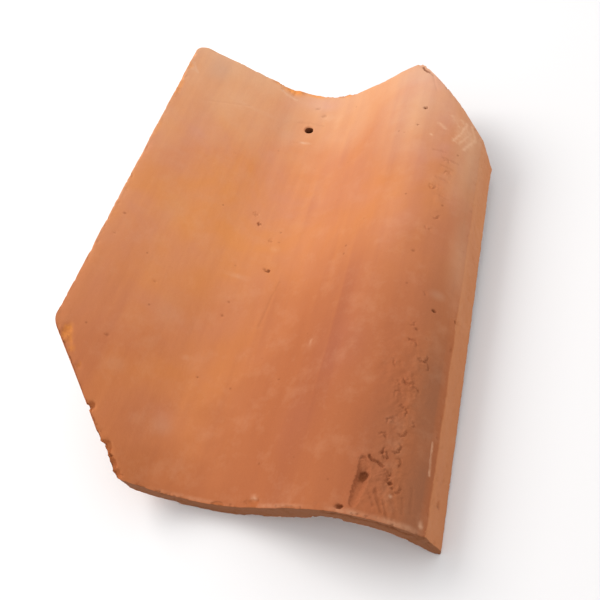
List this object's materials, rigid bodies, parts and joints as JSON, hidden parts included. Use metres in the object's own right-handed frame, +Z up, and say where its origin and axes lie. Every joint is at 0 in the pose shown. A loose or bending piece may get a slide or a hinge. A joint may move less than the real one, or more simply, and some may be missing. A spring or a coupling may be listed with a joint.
{
  "type": "clay pantile",
  "caption": "Fired clay pantile with an S-shaped section, opposite clipped corners, a nail hole and a hanging nib, for covering a pitched roof.",
  "frame": {"origin": "on the floor, under the centre of the bounding box, with the tile lying on its nib and tail", "axes": "+Z up, +Y from the tail towards the head, +X from the trough's limb towards the roll"},
  "size_m": [0.2352, 0.3414, 0.0865],
  "materials": {
    "terracotta": "matt unglazed fired clay, weathered"
  },
  "bodies": {
    "root": {"tile": "terracotta"}
  },
  "joints": []
}
